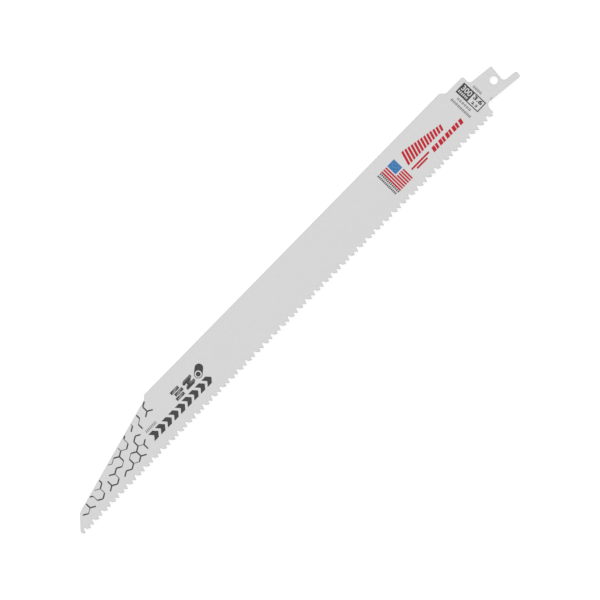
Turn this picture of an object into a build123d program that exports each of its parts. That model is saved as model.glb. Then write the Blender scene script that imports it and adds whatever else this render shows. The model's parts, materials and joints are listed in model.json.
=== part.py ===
from build123d import *
import os
from math import asin, cos, degrees, radians, sin, sqrt, tan

# Reciprocating saw blade, 300 mm class: one flat steel strip with a stepped tang at one end, a
# tapered nose at the other and a variable-pitch toothed edge whose teeth are set to both sides.
# The origin is the centre of the pin hole, halfway through the strip. +X runs toward the end of
# the tang, +Y toward the back edge and +Z toward the printed face. All sizes are in millimetres.

# Strip
thickness = 1.57
back_height = 14.25  # pin hole centre to the back edge
blade_reach = 296.4  # pin hole centre to the end of the nose
corner_radius = 1.0  # corners of the outline, unless a radius is named for them below

# Nose: a small notch in the back edge, a long taper and a short steep tip with a blunt end
nose_length = 68.85  # end of the nose to the notch
nose_notch = 1.7  # depth and length of the notch, which is cut at 45 degrees
steep_length = 6.4  # steep tip, along the blade
steep_height = 8.9  # start of the steep tip, above the first tooth
steep_radius = 5.0
blunt_height = 2.25  # blunt end of the nose, above the first tooth

# Shoulder: the back edge steps down before the tang
shoulder_start = 23.15  # pin hole centre to the end of the back edge
shoulder_drop = 2.25  # depth and length of the 45 degree step
shoulder_reach = 9.4  # pin hole centre to the end of the shoulder
shoulder_root_radius = 1.8

# Tang: canted downwards, with a narrow finger that runs on along its lower edge
tang_cant = 6.5
tang_width = 12.7
tang_reach = 3.25  # pin hole centre to the full-width end, measured along the tang
tang_corner_radius = 0.4
pin_hole_diameter = 4.2
pin_offset = 0.25  # the pin hole lies this far above the middle of the tang
finger_reach = 11.25
finger_width = 3.2
finger_root_radius = 2.0

# Heel: the end of the toothed edge, below the tang
heel_reach = 11.25
heel_root_radius = 2.6
last_tooth_gap = 1.35  # last tip to the heel

# Toothed edge: the tips lie on a shallow arc that is highest near the middle of the blade
tip_depth = 11.15  # pin hole centre to the highest tips
tip_arc_middle = 130.3  # pin hole centre to the highest tips, along the blade
tip_arc_radius = 10860.0
grinding_allowance = 0.5  # strip below the lowest tips that grinding takes off

# Gullets: coarse and fine ones take turns, and the teeth between them point toward the tang
coarse_pitch = 25.4 / 7
fine_pitch = 25.4 / 11
face_lean = 18.0  # tooth faces lean this far from upright
coarse_root_radius = 0.55
coarse_back_angle = 64.0  # back of the next tooth, between the root and the relief
coarse_relief_angle = 30.0
coarse_relief_length = 1.45  # relief behind the next tip, along the blade
fine_root_radius = 0.26
fine_back_angle = 45.0  # the back of the next tooth is one straight run

# Set: the crowns of the teeth are bent to one side, to the other side and not at all, in turn
crown_height = 1.1  # tips to the line that a crown is bent about
side_set = 0.37  # how far a tip stands out past the side of the strip
set_turns = (1, -1, 0)


def tip_y(x):
    """Height of the toothed edge at x, on the arc through the tips."""
    return sqrt(tip_arc_radius**2 - (x + tip_arc_middle) ** 2) - tip_arc_radius - tip_depth


def in_tang(along, across):
    """Point given by its distances from the pin hole along the canted tang and across it."""
    return Vector(along, across).rotate(Axis.Z, -tang_cant)


def tang_side_y(x, across):
    """Height at x of the side of the tang that lies this far across it."""
    return (across - x * sin(radians(tang_cant))) / cos(radians(tang_cant))


def gullet_corners(pitch, back_angle, relief_length, relief_angle):
    """Foot of the face, root, knee and end of the relief, from a tip at the origin."""
    lean = tan(radians(face_lean))
    climb = tan(radians(back_angle))
    fall = tan(radians(relief_angle))
    knee = (pitch - relief_length, relief_length * fall)
    root_height = (knee[1] + knee[0] * climb) / (1 + lean * climb)
    root = (lean * root_height, root_height)
    foot = (-lean * gullet_run_out, -gullet_run_out)
    relief_end = (pitch + gullet_run_out / fall, -gullet_run_out)
    return [foot, root, knee, relief_end]


# Strip before grinding: its lower edge clears every tip, and every gullet runs out below it
strip_bottom = min(tip_y(-blade_reach), tip_y(-heel_reach)) - grinding_allowance
gullet_run_out = -tip_depth - strip_bottom + grinding_allowance

with BuildSketch() as coarse_gullet:
    with BuildLine():
        FilletPolyline(
            gullet_corners(
                coarse_pitch, coarse_back_angle, coarse_relief_length, coarse_relief_angle
            ),
            radius=[0, coarse_root_radius, 0, 0],
            close=True,
        )
    make_face()

with BuildSketch() as fine_gullet:
    with BuildLine():
        FilletPolyline(
            gullet_corners(fine_pitch, fine_back_angle, 0, fine_back_angle),
            radius=[0, fine_root_radius, 0, 0],
            close=True,
        )
    make_face()

# Gullets as (tip that it starts from, pitch), with a fine one run out at the heel and the nose
pair_pitch = coarse_pitch + fine_pitch
last_tip = -heel_reach - last_tooth_gap
tooth_pairs = int((blade_reach + last_tip - coarse_pitch) / pair_pitch) + 1
fine_gullets = [(last_tip - pair * pair_pitch, fine_pitch) for pair in range(tooth_pairs + 1)]
coarse_gullets = [(x - coarse_pitch, coarse_pitch) for x, _ in fine_gullets[:tooth_pairs]]

# Outline of the strip before grinding, from the nose round to the heel
nose_start = nose_length - blade_reach
taper_top = back_height - nose_notch
steep_top = tip_y(-blade_reach) + steep_height
blunt_top = tip_y(-blade_reach) + blunt_height
tang_top = tang_width / 2 - pin_offset
tang_bottom = -tang_width / 2 - pin_offset
finger_top = tang_bottom + finger_width
shoulder_top = back_height - shoulder_drop
shoulder_bottom = tang_side_y(-shoulder_reach, tang_top)

# Roundings at the two ends of one short wall are held back where that wall is too short for them
shoulder_wall = shoulder_top - shoulder_bottom
shoulder_top_radius = min(corner_radius, 0.3 * shoulder_wall)
shoulder_bottom_radius = min(shoulder_root_radius, 0.6 * shoulder_wall)
finger_end_radius = min(corner_radius, 0.45 * finger_width)

outline = [
    ((-blade_reach, strip_bottom), 0),
    ((-blade_reach, blunt_top), corner_radius),
    ((steep_length - blade_reach, steep_top), steep_radius),
    ((nose_start - nose_notch, taper_top), corner_radius),
    ((nose_start, back_height), corner_radius),
    ((-shoulder_start, back_height), corner_radius),
    ((-shoulder_start + shoulder_drop, shoulder_top), corner_radius),
    ((-shoulder_reach, shoulder_top), shoulder_top_radius),
    ((-shoulder_reach, shoulder_bottom), shoulder_bottom_radius),
    (in_tang(tang_reach, tang_top), tang_corner_radius),
    (in_tang(tang_reach, finger_top), finger_root_radius),
    (in_tang(finger_reach, finger_top), finger_end_radius),
    (in_tang(finger_reach, tang_bottom), finger_end_radius),
    ((-heel_reach, tang_side_y(-heel_reach, tang_bottom)), heel_root_radius),
    ((-heel_reach, strip_bottom), 0),
]

with BuildSketch() as profile:
    with BuildLine():
        FilletPolyline(
            [corner for corner, _ in outline],
            radius=[radius for _, radius in outline],
            close=True,
        )
    make_face()
    Circle(pin_hole_diameter / 2, mode=Mode.SUBTRACT)
    with Locations(*[(x, tip_y(x + pitch / 2)) for x, pitch in coarse_gullets]):
        add(coarse_gullet.sketch, mode=Mode.SUBTRACT)
    with Locations(*[(x, tip_y(x + pitch / 2)) for x, pitch in fine_gullets]):
        add(fine_gullet.sketch, mode=Mode.SUBTRACT)

# Crowns: everything below a bend line that is straight over each tooth and turns in the gullets
gullet_middles = sorted(x + pitch / 4 for x, pitch in coarse_gullets + fine_gullets)
bend_line = [(x, tip_y(x) + crown_height) for x in gullet_middles]

with BuildSketch() as crowns:
    with BuildLine():
        below_heel = (gullet_middles[-1], strip_bottom)
        below_nose = (gullet_middles[0], strip_bottom)
        Polyline(*bend_line, below_heel, below_nose, close=True)
    make_face()
    add(profile.sketch, mode=Mode.INTERSECT)

with BuildPart() as blade:
    with BuildSketch(Plane.XY.offset(-thickness / 2)):
        add(profile.sketch)
        add(crowns.sketch, mode=Mode.SUBTRACT)
    extrude(amount=thickness)

    # A crown turns about its bend line, and is as thick as the strip when measured straight up
    set_angle = degrees(asin(side_set / crown_height))
    set_crowns = []
    for place, crown in enumerate(crowns.sketch.faces().sort_by(Axis.X)):
        lowered = crown.moved(Location((0, 0, -thickness / 2)))
        start, end = lowered.edges().sort_by(Axis.Y)[-1].vertices().sort_by(Axis.X)
        hinge = Axis(start.center(), end.center() - start.center())
        set_crowns.append(lowered.rotate(hinge, set_turns[place % len(set_turns)] * set_angle))
    extrude(set_crowns, amount=thickness, dir=(0, 0, 1))

blade.part.label = "blade"
os.makedirs("parts", exist_ok=True)
export_step(blade.part, "parts/blade.step")
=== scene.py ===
import json
import math
import random

import bmesh
import bpy
from mathutils import Matrix, Vector


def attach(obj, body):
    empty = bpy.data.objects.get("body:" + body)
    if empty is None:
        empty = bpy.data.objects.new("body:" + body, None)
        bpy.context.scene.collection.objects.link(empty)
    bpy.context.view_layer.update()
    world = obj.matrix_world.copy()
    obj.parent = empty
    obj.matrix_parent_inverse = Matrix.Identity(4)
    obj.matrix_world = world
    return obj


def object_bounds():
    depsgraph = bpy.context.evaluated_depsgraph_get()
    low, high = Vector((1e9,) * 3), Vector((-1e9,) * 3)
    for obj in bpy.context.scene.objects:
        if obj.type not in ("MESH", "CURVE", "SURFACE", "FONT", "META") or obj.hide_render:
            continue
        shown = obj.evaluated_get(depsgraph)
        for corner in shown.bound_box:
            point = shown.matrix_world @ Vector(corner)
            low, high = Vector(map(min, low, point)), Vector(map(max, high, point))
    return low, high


# A reciprocating saw blade lies on a white floor with its printed face up, seen from straight
# above. The objects are in metres, in the blade's own frame: the pin hole is at the origin, +X
# runs to the end of the tang and +Y to the back edge. The print is laid out below in millimetres
# in that frame.
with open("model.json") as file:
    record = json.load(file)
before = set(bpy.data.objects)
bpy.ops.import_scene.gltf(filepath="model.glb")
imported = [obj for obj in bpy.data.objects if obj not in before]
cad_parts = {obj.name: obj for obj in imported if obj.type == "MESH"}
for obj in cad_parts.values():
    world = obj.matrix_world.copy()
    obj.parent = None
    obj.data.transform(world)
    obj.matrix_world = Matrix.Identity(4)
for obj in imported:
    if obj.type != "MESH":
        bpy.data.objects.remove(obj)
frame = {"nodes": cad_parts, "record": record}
cad_low, cad_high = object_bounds()
scene = bpy.context.scene
scene.view_settings.view_transform = "Standard"

MM = 0.001
blade = frame["nodes"]["blade"]
mounts = {mount["name"]: mount for mount in frame["record"]["mounts"]}
printed_face_z = mounts["tang_printed_side"]["pos_m"][2]

# Camera: straight above, turned so that the blade rises to the right as in the photograph
PHOTO_PIXELS = 600
PIXEL_SIZE = 0.48467 * MM
BLADE_RISE = math.radians(45.57)
VIEW_CENTRE = Vector((-141.82, -7.49)) * MM
CAMERA_HEIGHT = 3.0  # above the printed face

camera_data = bpy.data.cameras.new("camera")
camera_data.type = "PERSP"
camera_data.lens = camera_data.sensor_width * CAMERA_HEIGHT / (PHOTO_PIXELS * PIXEL_SIZE)
camera = bpy.data.objects.new("camera", camera_data)
camera.location = (*VIEW_CENTRE, printed_face_z + CAMERA_HEIGHT)
camera.rotation_euler = (0, 0, -BLADE_RISE)
scene.collection.objects.link(camera)
scene.camera = camera

# Light: an even white world and two large soft lamps, level along the blade
WORLD_LIGHT = 0.62
LAMP_SIZE = 1.4
LAMPS = {
    "key_lamp": {"power": 17.0, "place": (0.0, 1.1, 1.7)},
    "fill_lamp": {"power": 5.0, "place": (0.0, -1.3, 1.5)},
}


def seen_directly(nodes, links):
    """1 for rays that show the backdrop itself, straight or mirrored, and 0 for the light that it
    throws on the object."""
    path = nodes.new("ShaderNodeLightPath")
    camera_or_glossy = nodes.new("ShaderNodeMath")
    camera_or_glossy.operation = "MAXIMUM"
    links.new(path.outputs["Is Camera Ray"], camera_or_glossy.inputs[0])
    links.new(path.outputs["Is Glossy Ray"], camera_or_glossy.inputs[1])
    either = nodes.new("ShaderNodeMath")
    either.operation = "MAXIMUM"
    links.new(camera_or_glossy.outputs[0], either.inputs[0])
    links.new(path.outputs["Is Transmission Ray"], either.inputs[1])
    return either.outputs[0]


def make_world():
    world = bpy.data.worlds.new("studio")
    world.use_nodes = True
    nodes = world.node_tree.nodes
    links = world.node_tree.links
    background = nodes["Background"]
    background.inputs["Color"].default_value = (1, 1, 1, 1)
    strength = nodes.new("ShaderNodeMapRange")
    strength.inputs["To Min"].default_value = WORLD_LIGHT
    strength.inputs["To Max"].default_value = 1.0
    links.new(seen_directly(nodes, links), strength.inputs["Value"])
    links.new(strength.outputs["Result"], background.inputs["Strength"])
    scene.world = world


def make_lamp(name, power, place):
    lamp_data = bpy.data.lights.new(name, "AREA")
    lamp_data.shape = "DISK"
    lamp_data.size = LAMP_SIZE
    lamp_data.energy = power
    lamp = bpy.data.objects.new(name, lamp_data)
    middle = Vector((VIEW_CENTRE.x, VIEW_CENTRE.y, 0))
    lamp.location = middle + Vector(place)
    lamp.rotation_euler = (-Vector(place)).to_track_quat("-Z", "Y").to_euler()
    lamp.visible_camera = False
    scene.collection.objects.link(lamp)


# Floor: white to the eye, with a share of real white in it that keeps the blade's shadow
FLOOR_SIZE = 12.0
FLOOR_WHITE = 0.85
FLOOR_GLOW_SHARE = 0.8
FLOOR_GLOW = 1.07


def make_floor():
    material = bpy.data.materials.new("floor_white")
    material.use_nodes = True
    nodes = material.node_tree.nodes
    links = material.node_tree.links
    nodes.clear()
    matt = nodes.new("ShaderNodeBsdfDiffuse")
    matt.inputs["Color"].default_value = (FLOOR_WHITE, FLOOR_WHITE, FLOOR_WHITE, 1)
    glow = nodes.new("ShaderNodeEmission")
    glow.inputs["Color"].default_value = (1, 1, 1, 1)
    glow.inputs["Strength"].default_value = FLOOR_GLOW
    share = nodes.new("ShaderNodeMath")
    share.operation = "MULTIPLY"
    share.inputs[1].default_value = FLOOR_GLOW_SHARE
    links.new(seen_directly(nodes, links), share.inputs[0])
    blend = nodes.new("ShaderNodeMixShader")
    links.new(share.outputs[0], blend.inputs[0])
    links.new(matt.outputs[0], blend.inputs[1])
    links.new(glow.outputs[0], blend.inputs[2])
    output = nodes.new("ShaderNodeOutputMaterial")
    links.new(blend.outputs[0], output.inputs["Surface"])

    half = FLOOR_SIZE / 2
    mesh = bpy.data.meshes.new("floor")
    corners = [(-half, -half, 0), (half, -half, 0), (half, half, 0), (-half, half, 0)]
    mesh.from_pydata(corners, [], [(0, 1, 2, 3)])
    mesh.materials.append(material)
    floor = bpy.data.objects.new("floor", mesh)
    floor.location = (VIEW_CENTRE.x, VIEW_CENTRE.y, cad_low.z)
    scene.collection.objects.link(floor)


# Finishes
NOISE_LOW, NOISE_HIGH = 0.3, 0.7  # nearly all of a noise texture's values lie between these
SHEEN_WAVE = 2.3  # wavelength of the changes in sheen, in wavelengths of the mottle
FINE_WAVE, FINE_DEPTH = 0.2, 0.25  # the finer of two bumps, as shares of the coarse one


def finish_material(name, colour, mottle, sheen, peel, edge, mirror):
    """A satin finish. mottle is how far its colour wanders as (share, wavelength), sheen its lowest
    and highest roughness, peel its bump as (depth, wavelength) and edge the rounding that light
    sees on its edges. Lengths are in millimetres. mirror is how strongly it reflects."""
    material = bpy.data.materials.new(name)
    material.use_nodes = True
    nodes = material.node_tree.nodes
    links = material.node_tree.links
    shader = nodes["Principled BSDF"]
    shader.inputs["Specular IOR Level"].default_value = mirror
    place = nodes.new("ShaderNodeTexCoord").outputs["Object"]

    def noise(wavelength, detail):
        texture = nodes.new("ShaderNodeTexNoise")
        texture.inputs["Scale"].default_value = 1 / (wavelength * MM)
        texture.inputs["Detail"].default_value = detail
        links.new(place, texture.inputs["Vector"])
        return texture.outputs["Fac"]

    share, wavelength = mottle
    tint = nodes.new("ShaderNodeMix")
    tint.data_type = "RGBA"
    tint.inputs["A"].default_value = (*[part * (1 - share) for part in colour], 1)
    tint.inputs["B"].default_value = (*[part * (1 + share) for part in colour], 1)
    links.new(noise(wavelength, detail=4), tint.inputs["Factor"])
    links.new(tint.outputs["Result"], shader.inputs["Base Color"])

    gloss = nodes.new("ShaderNodeMapRange")
    gloss.inputs["From Min"].default_value = NOISE_LOW
    gloss.inputs["From Max"].default_value = NOISE_HIGH
    gloss.inputs["To Min"].default_value = sheen[0]
    gloss.inputs["To Max"].default_value = sheen[1]
    links.new(noise(wavelength * SHEEN_WAVE, detail=3), gloss.inputs["Value"])
    links.new(gloss.outputs["Result"], shader.inputs["Roughness"])

    depth, wavelength = peel
    rounded = nodes.new("ShaderNodeBevel")
    rounded.inputs["Radius"].default_value = edge * MM
    coarse = nodes.new("ShaderNodeBump")
    links.new(rounded.outputs["Normal"], coarse.inputs["Normal"])
    coarse.inputs["Distance"].default_value = depth * MM
    links.new(noise(wavelength, detail=2), coarse.inputs["Height"])
    fine = nodes.new("ShaderNodeBump")
    fine.inputs["Distance"].default_value = depth * FINE_DEPTH * MM
    links.new(noise(wavelength * FINE_WAVE, detail=2), fine.inputs["Height"])
    links.new(coarse.outputs["Normal"], fine.inputs["Normal"])
    links.new(fine.outputs["Normal"], shader.inputs["Normal"])
    return material


def ink_material(name, colour):
    """Printed ink: flatter than the paint, and a little uneven where it was pressed on."""
    return finish_material(
        name,
        colour,
        mottle=(0.12, 0.5),
        sheen=(0.45, 0.62),
        peel=(0.004, 0.5),
        edge=0.01,
        mirror=0.25,
    )


def mix_into_paint(material, share, colour):
    """Mix a colour into the paint, by a share that another node works out."""
    nodes = material.node_tree.nodes
    links = material.node_tree.links
    base_colour = nodes["Principled BSDF"].inputs["Base Color"]
    paint_mix = nodes.new("ShaderNodeMix")
    paint_mix.data_type = "RGBA"
    paint_mix.inputs["B"].default_value = (*colour, 1)
    links.new(base_colour.links[0].from_socket, paint_mix.inputs["A"])
    links.new(share, paint_mix.inputs["Factor"])
    links.new(paint_mix.outputs["Result"], base_colour)


def add_painted_edge_shade(material, width, colour):
    """Painted shade: a darker colour is mixed into the paint over the last stretch before an edge,
    standing in for the shade on the rounded edge. width is in millimetres. On the edge itself the
    rounded normal leans halfway to the next side, which is 45 degrees."""
    nodes = material.node_tree.nodes
    links = material.node_tree.links
    rounded = nodes.new("ShaderNodeBevel")
    rounded.samples = 8
    rounded.inputs["Radius"].default_value = width * MM
    flatness = nodes.new("ShaderNodeVectorMath")
    flatness.operation = "DOT_PRODUCT"
    links.new(rounded.outputs["Normal"], flatness.inputs[0])
    links.new(nodes.new("ShaderNodeNewGeometry").outputs["True Normal"], flatness.inputs[1])
    nearness = nodes.new("ShaderNodeMapRange")
    nearness.inputs["From Min"].default_value = 1
    nearness.inputs["From Max"].default_value = math.cos(math.pi / 4)
    links.new(flatness.outputs["Value"], nearness.inputs["Value"])
    mix_into_paint(material, nearness.outputs["Result"], colour)


def add_dark_spot(material, place, radius, colour):
    """A ragged darker spot, longer along the blade. Lengths in millimetres."""
    flatten = Vector((0.6, 1, 1))
    ragged_by, inner, outer = 1.6, 0.9, 1.5  # raggedness and the ends of the fade, in radii
    nodes = material.node_tree.nodes
    links = material.node_tree.links
    coordinates = nodes.new("ShaderNodeTexCoord").outputs["Object"]
    flattened = nodes.new("ShaderNodeVectorMath")
    flattened.operation = "MULTIPLY"
    flattened.inputs[1].default_value = flatten
    links.new(coordinates, flattened.inputs[0])
    distance = nodes.new("ShaderNodeVectorMath")
    distance.operation = "DISTANCE"
    distance.inputs[1].default_value = Vector(place) * flatten * MM
    links.new(flattened.outputs["Vector"], distance.inputs[0])
    ragged = nodes.new("ShaderNodeTexNoise")
    ragged.inputs["Scale"].default_value = 2 / (radius * MM)
    ragged.inputs["Detail"].default_value = 5
    links.new(coordinates, ragged.inputs["Vector"])
    reach = nodes.new("ShaderNodeMath")
    reach.operation = "MULTIPLY_ADD"
    reach.inputs[1].default_value = ragged_by * radius * MM
    links.new(ragged.outputs["Fac"], reach.inputs[0])
    links.new(distance.outputs["Value"], reach.inputs[2])
    fade = nodes.new("ShaderNodeMapRange")
    fade.inputs["From Min"].default_value = outer * radius * MM
    fade.inputs["From Max"].default_value = inner * radius * MM
    links.new(reach.outputs["Value"], fade.inputs["Value"])
    mix_into_paint(material, fade.outputs["Result"], colour)


make_world()
for lamp_name, lamp_facts in LAMPS.items():
    make_lamp(lamp_name, **lamp_facts)
make_floor()

paint = finish_material(
    "blade_paint",
    (0.645, 0.645, 0.645),
    mottle=(0.03, 1.6),
    sheen=(0.42, 0.58),
    peel=(0.012, 1.1),
    edge=0.2,
    mirror=0.3,
)
# Painted shade: a darker grey is mixed into the paint near every edge of the blade
add_painted_edge_shade(paint, width=0.7, colour=(0.4, 0.4, 0.4))
add_dark_spot(paint, place=(-7.3, -5.45, 0.8), radius=0.9, colour=(0.33, 0.33, 0.33))
dark_ink = ink_material("dark_ink", (0.047, 0.047, 0.048))
thin_ink = ink_material("dark_ink_thin", (0.13, 0.13, 0.132))
red_ink = ink_material("red_ink", (0.49, 0.005, 0.017))
blue_ink = ink_material("blue_ink", (0.015, 0.16, 0.4))

for slot in blade.material_slots:
    slot.material = paint

# Print: thin layers of ink, sunk a little into the paint and standing a little proud of it
INK_SINK = 0.01
INK_PROUD = 0.02
INK_STEP = 0.0004  # each shape stands this much higher than the one before, where strokes cross
UNDERLAY_PROUD = 0.012  # ink that is printed over in part


def ink(name, shapes, material, proud=INK_PROUD):
    """A printed layer, one closed prism for each shape. A shape is a list of closed outlines in
    millimetres: the outer one, and any gaps left in it."""
    layer = bmesh.new()
    for order, outlines in enumerate(shapes):
        edges = []
        for outline in outlines:
            corners = [layer.verts.new((x, y, -INK_SINK)) for x, y in outline]
            edges += [layer.edges.new(pair) for pair in zip(corners, corners[1:] + corners[:1])]
        filled = bmesh.ops.triangle_fill(layer, use_beauty=True, use_dissolve=False, edges=edges)
        faces = [item for item in filled["geom"] if isinstance(item, bmesh.types.BMFace)]
        raised = bmesh.ops.extrude_face_region(layer, geom=faces, use_keep_orig=True)
        tops = [item for item in raised["geom"] if isinstance(item, bmesh.types.BMVert)]
        rise = INK_SINK + proud + order * INK_STEP
        bmesh.ops.translate(layer, verts=tops, vec=(0, 0, rise))
    bmesh.ops.recalc_face_normals(layer, faces=layer.faces)
    mesh = bpy.data.meshes.new(name)
    layer.to_mesh(mesh)
    layer.free()
    mesh.transform(Matrix.Translation((0, 0, printed_face_z)) @ Matrix.Scale(MM, 4))
    mesh.materials.append(material)
    piece = bpy.data.objects.new(name, mesh)
    scene.collection.objects.link(piece)
    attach(piece, "root")


def bar(left, right, bottom, top, slant=0.0):
    """An upright bar whose top is shifted along the blade by slant."""
    return [(left, bottom), (right, bottom), (right + slant, top), (left + slant, top)]


def turned(outlines, centre, angle):
    """The outlines turned about a centre, counter-clockwise."""
    turn = Matrix.Rotation(angle, 2)
    return [[centre + turn @ (Vector(point) - centre) for point in outline] for outline in outlines]


def circle(middle, radius, sides=40):
    turns = [2 * math.pi * side / sides for side in range(sides)]
    return [(middle[0] + radius * math.cos(t), middle[1] + radius * math.sin(t)) for t in turns]


def capsule(near, far, radius, sides=20):
    """Outline round two circles of one radius, such as a round bar seen at an angle."""
    heading = math.atan2(far[1] - near[1], far[0] - near[0])
    outline = []
    for end, start in ((far, heading - math.pi / 2), (near, heading + math.pi / 2)):
        turns = [start + math.pi * side / sides for side in range(sides + 1)]
        outline += [(end[0] + radius * math.cos(t), end[1] + radius * math.sin(t)) for t in turns]
    return outline


def widened(outline, weight):
    """The closed outline moved to its right hand by weight, which is away from a numeral's ink.
    Points where the move turns a run back on itself are left out, so that nothing crosses."""
    while True:
        ahead = outline[1:] + outline[:1]
        runs = [(after - here).normalized() for here, after in zip(outline, ahead)]
        normals = [Vector((run.y, -run.x)) for run in runs]
        moved = []
        for here, first, second in zip(outline, normals[-1:] + normals[:-1], normals):
            moved.append(here + weight * (first + second) / (1 + first.dot(second)))
        kept = []
        for here, run, start, end in zip(outline, runs, moved, moved[1:] + moved[:1]):
            if run.dot(end - start) > 0:
                kept.append(here)
        if len(kept) == len(outline):
            return moved
        outline = kept


NUMERAL_HEIGHT = 0.73  # of a numeral, as a share of its font's size


def numeral_outlines(text, height, length, weight, foot, start):
    """Outlines of plain numerals that read toward the teeth, as the print near the tang does.
    foot is where they stand, along the blade, start is where they begin, across it, and weight is
    how much their strokes are widened on each side."""
    font = bpy.data.curves.new("numerals", "FONT")
    font.body = text
    font.fill_mode = "NONE"
    font.resolution_u = 8
    font.size = height / NUMERAL_HEIGHT
    holder = bpy.data.objects.new("numerals", font)
    scene.collection.objects.link(holder)
    evaluated = holder.evaluated_get(bpy.context.evaluated_depsgraph_get())
    mesh = bpy.data.meshes.new_from_object(evaluated)
    bpy.data.objects.remove(holder)
    stretch = length / max(vertex.co.x for vertex in mesh.vertices)
    neighbours = {vertex.index: [] for vertex in mesh.vertices}
    for edge in mesh.edges:
        first, second = edge.vertices
        neighbours[first].append(second)
        neighbours[second].append(first)
    outlines = []
    while neighbours:
        index = next(iter(neighbours))
        outline = []
        while index is not None:
            along, up = mesh.vertices[index].co.xy
            outline.append(Vector((foot + up, start - along * stretch)))
            onward = neighbours.pop(index)
            index = next((other for other in onward if other in neighbours), None)
        outlines.append(widened(outline, weight))
    return outlines


def tick_rows(middle, height, start, end, pitch, ticks, width):
    """A row of fine ticks across the blade, in groups. middle is along the blade, start and end
    are across it, and pitch is from one group to the next."""
    groups = round((start - end) / pitch)
    rows = []
    for group in range(groups):
        for tick in range(ticks):
            top = start - group * pitch - tick * 2 * width
            rows.append([bar(middle - height / 2, middle + height / 2, top - width, top)])
    return rows


# Size label near the tang: a filled block over an open one, with plain numerals. It is printed a
# little askew, and reads toward the teeth.
LABEL_MIDDLE = Vector((-13.7, 2.1))
LABEL_TURN = math.radians(1.2)
LABEL_LEFT, LABEL_RIGHT = -16.8, -10.65
LABEL_TOP, LABEL_SPLIT, LABEL_BOTTOM = 9.45, 2.2, -5.2
LABEL_LINE = 0.5
BOX_GAP = 0.05  # between the block and the box
BOX_TOP_LINE = 0.1
BLOCK_START = 8.7  # where the numerals and the marks on the block begin, across the blade
BLOCK_MARKS = 6
MARK_FOOT, MARK_TOP = -15.95, -14.75
MARK_WIDTH, MARK_PITCH = 0.6, 1.0


def on_label(outlines):
    return turned(outlines, LABEL_MIDDLE, LABEL_TURN)


block = [bar(LABEL_LEFT, LABEL_RIGHT, LABEL_SPLIT, LABEL_TOP)]
block += numeral_outlines(
    "300", height=2.8, length=5.8, weight=0.06, foot=-14.05, start=BLOCK_START
)
for place in range(BLOCK_MARKS):
    start = BLOCK_START - place * MARK_PITCH
    block.append(bar(MARK_FOOT, MARK_TOP, start - MARK_WIDTH, start))
ink("label_block", [on_label(block)], dark_ink)
box_top = LABEL_SPLIT - BOX_GAP
box_left, box_right = LABEL_LEFT + LABEL_LINE, LABEL_RIGHT - LABEL_LINE
box = [bar(LABEL_LEFT, LABEL_RIGHT, LABEL_BOTTOM, box_top)]
box.append(bar(box_left, box_right, LABEL_BOTTOM + LABEL_LINE, box_top - BOX_TOP_LINE))
ink("label_box", [on_label(box)], dark_ink)
pitches = numeral_outlines("3.6", height=2.0, length=5.3, weight=0.13, foot=-13.3, start=1.4)
pitches += numeral_outlines("2.3", height=1.2, length=3.5, weight=0.08, foot=-15.6, start=0.4)
ink("label_pitches", [on_label(pitches)], dark_ink)

short_row = tick_rows(-18.5, height=1.25, start=6.5, end=-2.5, pitch=1.5, ticks=2, width=0.3)
long_row = tick_rows(-20.9, height=1.25, start=8.4, end=-4.6, pitch=1.45, ticks=2, width=0.33)
tang_row = tick_rows(-9.0, height=1.3, start=4.9, end=-0.8, pitch=1.4, ticks=2, width=0.33)
ink("label_ticks", [on_label(shape) for shape in short_row + long_row], dark_ink)
ink("tang_ticks", [on_label(shape) for shape in tang_row], thin_ink)

# Flag: reads like the label, with its stars left open in the blue field
STRIPES, SHORT_STRIPES = 7, 4
STRIPE_WIDTH = 0.83
STRIPE_PITCH = 1.35
STRIPES_BOTTOM = -5.15
SHORT_STRIPE_TOP = 1.25
FIELD = {"left": -65.95, "right": -61.2, "bottom": 2.05, "top": 7.75}
STAR_ROWS, STARS_IN_ROW = 9, 6  # every other row has one star less
STAR_RADIUS = 0.16
STAR_WAIST = 0.45  # inner corners of a star, as a share of its radius


def star(middle_x, middle_y):
    points = []
    for corner in range(10):
        radius = STAR_RADIUS if corner % 2 == 0 else STAR_RADIUS * STAR_WAIST
        angle = math.pi * corner / 5
        points.append((middle_x + radius * math.cos(angle), middle_y + radius * math.sin(angle)))
    return points


field = [bar(**FIELD)]
row_pitch = (FIELD["right"] - FIELD["left"]) / STAR_ROWS
star_pitch = (FIELD["top"] - FIELD["bottom"]) / STARS_IN_ROW
for row in range(STAR_ROWS):
    shift = row % 2
    for place in range(STARS_IN_ROW - shift):
        across = FIELD["top"] - (0.5 + place + shift / 2) * star_pitch
        field.append(star(FIELD["right"] - (0.5 + row) * row_pitch, across))
ink("flag_field", [field], blue_ink)
stripes = []
for row in range(STRIPES):
    right = FIELD["right"] - row * STRIPE_PITCH
    top = SHORT_STRIPE_TOP if row < SHORT_STRIPES else FIELD["top"]
    stripes.append([bar(right - STRIPE_WIDTH, right, STRIPES_BOTTOM, top)])
ink("flag_stripes", stripes, red_ink)
flag_rows = tick_rows(-70.85, height=1.1, start=7.6, end=-5.1, pitch=1.0, ticks=1, width=0.62)
flag_rows += tick_rows(-72.45, height=1.1, start=7.6, end=-5.1, pitch=0.9, ticks=1, width=0.56)
ink("flag_ticks", flag_rows, dark_ink)

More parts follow.
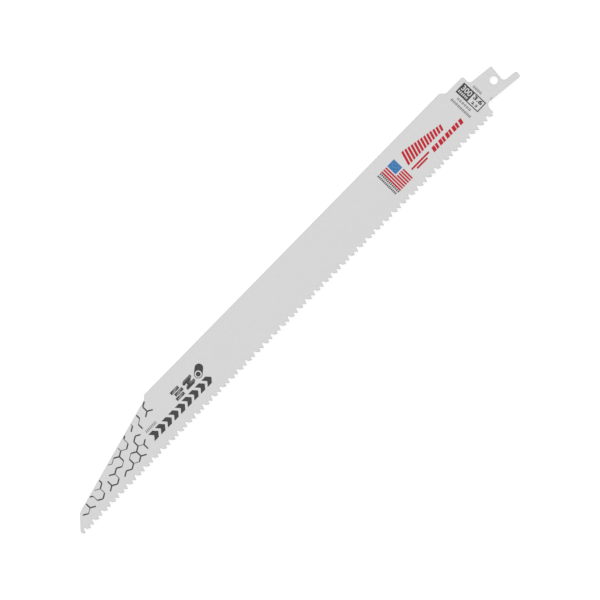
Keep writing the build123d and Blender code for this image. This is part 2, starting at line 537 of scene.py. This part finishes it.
# Red emblem: a falling row of slanted bars over two long dashes and a row of short ones
EMBLEM_BARS = 13
EMBLEM_LEFT, EMBLEM_FOOT = -58.5, 0.6
EMBLEM_BAR_WIDTH, EMBLEM_BAR_PITCH = 1.27, 1.92
TALLEST_BAR, BAR_FALL = 7.0, 0.33
BAR_SLANT = 0.3  # how far the top is shifted, as a share of the height
LONG_DASHES = ((-58.9, -46.9, -2.3, -1.4), (-56.6, -49.4, -3.8, -2.9))
LONG_DASH_SLANT = 0.2
SHORT_DASHES = 9
SHORT_DASH_LEFT, SHORT_DASH_PITCH = -45.2, 2.3
SHORT_DASH_WIDTHS = (1.9, 1.4)  # in turn
SHORT_DASH_FOOT, SHORT_DASH_TOP = -3.9, -1.3
SHORT_DASH_SLANT = 0.6

emblem = []
for place in range(EMBLEM_BARS):
    height = TALLEST_BAR - BAR_FALL * place
    left = EMBLEM_LEFT + EMBLEM_BAR_PITCH * place
    right = left + EMBLEM_BAR_WIDTH
    emblem.append([bar(left, right, EMBLEM_FOOT, EMBLEM_FOOT + height, BAR_SLANT * height)])
emblem += [[bar(*sides, slant=LONG_DASH_SLANT)] for sides in LONG_DASHES]
ink("emblem_bars", emblem, red_ink)
dashes = []
for place in range(SHORT_DASHES):
    left = SHORT_DASH_LEFT + SHORT_DASH_PITCH * place
    right = left + SHORT_DASH_WIDTHS[place % 2]
    dashes.append([bar(left, right, SHORT_DASH_FOOT, SHORT_DASH_TOP, SHORT_DASH_SLANT)])
ink("emblem_dashes", dashes, red_ink)

# Row of chevrons that point toward the tang, the way the blade cuts, and small marks beside it
CHEVRONS = 9
CHEVRON_START = -240.0
CHEVRON_PITCH = 4.59
CHEVRON_BAND = 2.9
CHEVRON_POINT = 1.9
CHEVRON_BOTTOM, CHEVRON_TOP = -5.1, -0.7
SMALL_MARKS = 8
SMALL_MARK_START, SMALL_MARK_PITCH = -239.9, 0.9
SMALL_MARK_WIDTH = 0.4

chevrons = []
middle = (CHEVRON_BOTTOM + CHEVRON_TOP) / 2
for place in range(CHEVRONS):
    tail = CHEVRON_START + place * CHEVRON_PITCH
    front = tail + CHEVRON_BAND
    lower_arm = [(tail, CHEVRON_BOTTOM), (front, CHEVRON_BOTTOM), (front + CHEVRON_POINT, middle)]
    upper_arm = [(front, CHEVRON_TOP), (tail, CHEVRON_TOP), (tail + CHEVRON_POINT, middle)]
    chevrons.append([lower_arm + upper_arm])
ink("cut_chevrons", chevrons, dark_ink)
cut_marks = []
for place in range(SMALL_MARKS):
    left = SMALL_MARK_START + SMALL_MARK_PITCH * place
    cut_marks.append([bar(left, left + SMALL_MARK_WIDTH, 0.25, 1.7, slant=0.3)])
ink("cut_marks", cut_marks, thin_ink)

# Pictures of what the blade cuts: boards with open grain, a length of steel section and of pipe
BOARD_LENGTH, BOARD_HEIGHT = 5.2, 1.55
BOARD_CORNERS = ((-218.3, 0.5), (-217.3, 2.5), (-218.3, 4.5))
GRAIN = ((0.6, 3.3, 0.4), (1.9, 4.5, 0.95))  # start, end and height of each line on a board
GRAIN_LINE = 0.2  # width of a line, and slant of its ends

boards = []
for left, foot in BOARD_CORNERS:
    board = [bar(left, left + BOARD_LENGTH, foot, foot + BOARD_HEIGHT)]
    for start, end, height in GRAIN:
        low, high = foot + height, foot + height + GRAIN_LINE
        board.append(bar(left + start, left + end, low, high, slant=GRAIN_LINE))
    boards.append(board)
ink("picture_boards", boards, dark_ink)

SECTION_MIDDLE = Vector((-208.6, 2.7))
SECTION_SHIFT = Vector((1.3, 0.9))  # near end to far end, as it is seen
FLANGE = (2.4, 1.9)  # half its length, and how far its outer side is from the middle
FLANGE_INNER = 0.8
WEB_HALF = 0.6

quarter = [(WEB_HALF, FLANGE_INNER), (FLANGE[0], FLANGE_INNER), FLANGE]
section = [Vector(corner) for corner in quarter]
section += [Vector((-x, y)) for x, y in reversed(quarter)]
section += [-Vector(corner) for corner in quarter]
section += [Vector((x, -y)) for x, y in reversed(quarter)]
section = [SECTION_MIDDLE + corner for corner in section]
flanks = []
for near, onward in zip(section, section[1:] + section[:1]):
    if (onward - near).cross(SECTION_SHIFT) < 0:  # not hidden behind the near end
        flanks.append([[near, onward, onward + SECTION_SHIFT, near + SECTION_SHIFT]])
ink("picture_section", [[section]], dark_ink)
ink("picture_section_flanks", flanks, thin_ink, proud=UNDERLAY_PROUD)

PIPE_NEAR, PIPE_FAR = (-202.0, 2.6), (-199.6, 4.5)
PIPE_RADIUS, RIM_RADIUS, BORE_RADIUS = 2.1, 1.75, 1.2

pipe_side = [capsule(PIPE_NEAR, PIPE_FAR, PIPE_RADIUS), circle(PIPE_NEAR, RIM_RADIUS)]
pipe_bore = [circle(PIPE_NEAR, BORE_RADIUS)]
ink("picture_pipe", [pipe_side, pipe_bore], dark_ink)

# Nose: a honeycomb net with gaps in it, which thins out toward the tang
NET_LEFT, NET_RIGHT = -292.5, -229.5
NET_BOTTOM, NET_TOP = -7.6, 12.0
LOWEST_CORNER = 0.8  # of a cell, above the bottom of the net
CELL_SIDE = 2.9
SIDE_ANGLES = (30, 150, 270)  # of the three sides that meet in a corner, in degrees
SIDE_STEPS = 20
FEWEST_STEPS = 7  # a side with fewer of them inside the net is left out
TAPER_START = Vector((-290.0, -3.5))
TAPER_SLOPE = 0.2645
EDGE_MARGIN = 0.4
CHEVRONS_REACH = Vector((-242.5, 3.2))  # the net stays left of this point or above it
BOLD_SHARE, THIN_SHARE = 0.68, 0.3
BOLD_WIDTH, THIN_WIDTH = 0.68, 0.4
SHARE_LOST = 0.55  # at the end toward the tang

draws = random.Random(8)


def in_net(point):
    clear_of_chevrons = point.x < CHEVRONS_REACH.x or point.y > CHEVRONS_REACH.y
    clear_of_tip = point.y < point.x - NET_LEFT + NET_BOTTOM
    taper_edge = TAPER_START.y + (point.x - TAPER_START.x) * TAPER_SLOPE - EDGE_MARGIN
    return clear_of_chevrons and clear_of_tip and NET_BOTTOM < point.y < taper_edge


def stroke(start, end, width):
    """A straight stroke with pointed ends, so that three of them meet in one corner of a cell."""
    along = (end - start).normalized() * width / 2
    across = Vector((-along.y, along.x))
    near = start + along / 2
    far = end - along / 2
    right_side = [start - along / 2, near - across, far - across]
    return right_side + [end + along / 2, far + across, near + across]


bold, thin = [], []
cell_width = CELL_SIDE * math.sqrt(3)
row_pitch = 1.5 * CELL_SIDE
for row in range(math.ceil((NET_TOP - NET_BOTTOM) / row_pitch)):
    for place in range(math.ceil((NET_RIGHT - NET_LEFT) / cell_width)):
        along = NET_LEFT + (place + row % 2 / 2) * cell_width
        corner = Vector((along, NET_BOTTOM + LOWEST_CORNER + row * row_pitch))
        for angle in SIDE_ANGLES:
            turn = math.radians(angle)
            end = corner + CELL_SIDE * Vector((math.cos(turn), math.sin(turn)))
            chance = draws.random()
            steps = [corner.lerp(end, step / SIDE_STEPS) for step in range(SIDE_STEPS + 1)]
            inside = [point for point in steps if in_net(point)]
            if len(inside) < FEWEST_STEPS:
                continue
            fade = 1 - SHARE_LOST * (corner.x - NET_LEFT) / (NET_RIGHT - NET_LEFT)
            if chance < BOLD_SHARE * fade:
                bold.append([stroke(inside[0], inside[-1], BOLD_WIDTH)])
            elif chance < (BOLD_SHARE + THIN_SHARE) * fade:
                thin.append([stroke(inside[0], inside[-1], THIN_WIDTH)])
ink("nose_net_bold", bold, dark_ink)
ink("nose_net_thin", thin, thin_ink, proud=UNDERLAY_PROUD)
